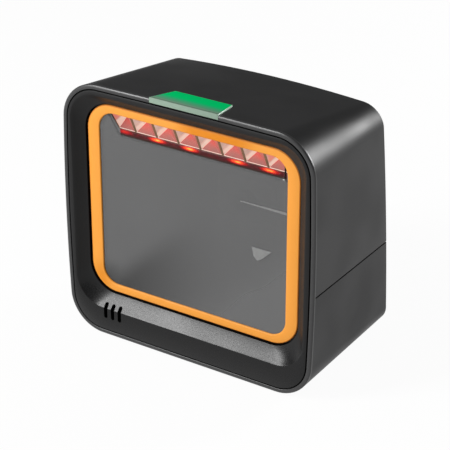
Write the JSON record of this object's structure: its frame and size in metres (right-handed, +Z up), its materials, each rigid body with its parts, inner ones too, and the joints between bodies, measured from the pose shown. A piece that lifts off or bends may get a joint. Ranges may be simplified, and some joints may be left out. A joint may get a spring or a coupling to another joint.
{
  "type": "desktop barcode scanner",
  "caption": "Countertop hands-free barcode scanner: a moulded housing with a dished front, a window framed by an orange ring, speaker slots and a green status tab over its top edge.",
  "frame": {"origin": "middle of the bounding box, at the underside of the feet", "axes": "+X across the front, to the right as the front is seen; +Y from the window at the front to the back; +Z up from the floor"},
  "size_m": [0.164, 0.1009, 0.1561],
  "materials": {
    "housing": "fine grain, satin",
    "cover": "fine grain, satin",
    "bezel": "fine grain, satin",
    "ring": "semi-gloss",
    "window": "polished, tinted grey",
    "status_tab": "semi-gloss, lit from below",
    "chamber": "matte",
    "reflectors": "metallised, bright",
    "light_strip": "clear, red",
    "lamps": "clear, lit",
    "status_lamps": "clear, lit",
    "board": "solder resist",
    "chips": "matte",
    "connectors": "matte",
    "barrel": "matte black",
    "lens": "coated",
    "sensor": "polished",
    "aimer": "clear, red",
    "socket": "matte",
    "contacts": "plated",
    "speaker": "satin",
    "cone": "matte",
    "gasket": "foam, matte",
    "ribbon": "satin",
    "lead": "satin",
    "steel": "plated",
    "feet": "matte"
  },
  "bodies": {
    "root": {"upper_housing": "housing", "lower_cover": "cover", "front_bezel": "bezel", "light_ring": "ring", "window_glass": "window", "status_light": "status_tab", "status_board": "board", "status_lamps": "status_lamps", "scan_chamber": "chamber", "reflector_row": "reflectors", "light_strip": "light_strip", "illumination_board": "board", "illumination_lamps": "lamps", "lens_barrel": "barrel", "lens_glass": "lens", "lens_holder": "barrel", "image_sensor": "sensor", "camera_board": "board", "aimer": "aimer", "main_board": "board", "board_chips": "chips", "board_connectors": "connectors", "interface_socket": "socket", "socket_contacts": "contacts", "speaker": "speaker", "speaker_cone": "cone", "speaker_gasket": "gasket", "camera_ribbon": "ribbon", "light_ribbon": "ribbon", "status_ribbon": "ribbon", "speaker_lead": "lead", "housing_screws": "steel", "chamber_screws": "steel", "board_screws": "steel", "rubber_feet": "feet"}
  },
  "joints": []
}
